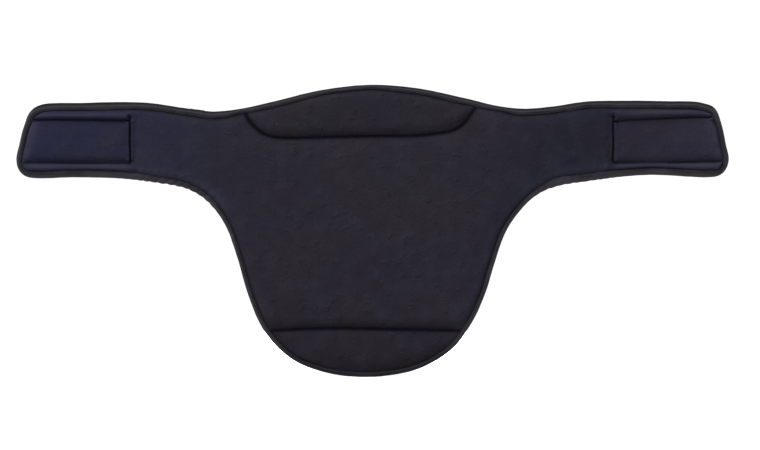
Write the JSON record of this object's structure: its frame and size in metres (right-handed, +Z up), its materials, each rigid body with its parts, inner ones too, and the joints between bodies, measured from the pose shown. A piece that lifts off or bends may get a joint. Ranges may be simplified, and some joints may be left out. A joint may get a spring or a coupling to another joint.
{
  "type": "padded horse chest guard",
  "caption": "Long padded fabric band that wraps round a horse's shoulders, with a deep rounded bib below its middle, a folded tape edge and hook patches on its outer face.",
  "frame": {"origin": "on the flat of the lining, in the middle of the band between its two arms, at the height of the middle of the pad", "axes": "+X along the band, to the right when the lining is seen from the front; +Y through the pad, from the lining that lies on the horse to the facing; +Z up"},
  "size_m": [0.928, 0.0139, 0.38],
  "materials": {
    "lining": "matte",
    "foam": "matte",
    "facing": "matte",
    "binding": "satin",
    "hook_tape": "matte",
    "thread": "satin"
  },
  "bodies": {
    "centre": {"lining_centre": "lining", "foam_centre": "foam", "facing_centre": "facing", "binding_crest": "binding", "binding_bib_left": "binding", "binding_bib_right": "binding", "hook_patch_upper": "hook_tape", "seam_thread_upper_lining_side": "thread", "seam_thread_upper_patch_side": "thread"},
    "left_arm": {"lining_left_arm": "lining", "foam_left_arm": "foam", "facing_left_arm": "facing", "binding_left_arm_top": "binding", "binding_left_arm_bottom": "binding"},
    "left_end": {"lining_left_end": "lining", "foam_left_end": "foam", "facing_left_end": "facing", "binding_left_end": "binding", "hook_patch_left": "hook_tape", "seam_thread_left_lining_side": "thread", "seam_thread_left_patch_side": "thread"},
    "right_arm": {"lining_right_arm": "lining", "foam_right_arm": "foam", "facing_right_arm": "facing", "binding_right_arm_top": "binding", "binding_right_arm_bottom": "binding"},
    "right_end": {"lining_right_end": "lining", "foam_right_end": "foam", "facing_right_end": "facing", "binding_right_end": "binding", "hook_patch_right": "hook_tape", "seam_thread_right_lining_side": "thread", "seam_thread_right_patch_side": "thread"},
    "lower_flap": {"lining_lower_flap": "lining", "foam_lower_flap": "foam", "facing_lower_flap": "facing", "binding_lower_flap": "binding", "hook_patch_lower": "hook_tape", "seam_thread_lower_lining_side": "thread", "seam_thread_lower_patch_side": "thread"}
  },
  "joints": [
    {"name": "left_arm_flex", "type": "hinge", "parent": "centre", "child": "left_arm", "pos_m": [-0.195, 0, 0.1085], "axis": [0, 0, 1], "range_deg": [0, 70], "stiffness_Nm_per_rad": 0.35},
    {"name": "left_end_flex", "type": "hinge", "parent": "left_arm", "child": "left_end", "pos_m": [-0.309, 0, 0.118], "axis": [0, 0, 1], "range_deg": [0, 70], "stiffness_Nm_per_rad": 0.35},
    {"name": "right_arm_flex", "type": "hinge", "parent": "centre", "child": "right_arm", "pos_m": [0.195, 0, 0.1085], "axis": [0, 0, -1], "range_deg": [0, 70], "stiffness_Nm_per_rad": 0.35},
    {"name": "right_end_flex", "type": "hinge", "parent": "right_arm", "child": "right_end", "pos_m": [0.309, 0, 0.118], "axis": [0, 0, -1], "range_deg": [0, 70], "stiffness_Nm_per_rad": 0.35},
    {"name": "lower_flap_flex", "type": "hinge", "parent": "centre", "child": "lower_flap", "pos_m": [-0.005, 0, -0.119], "axis": [-1, 0, 0], "range_deg": [0, 50], "stiffness_Nm_per_rad": 0.35}
  ]
}
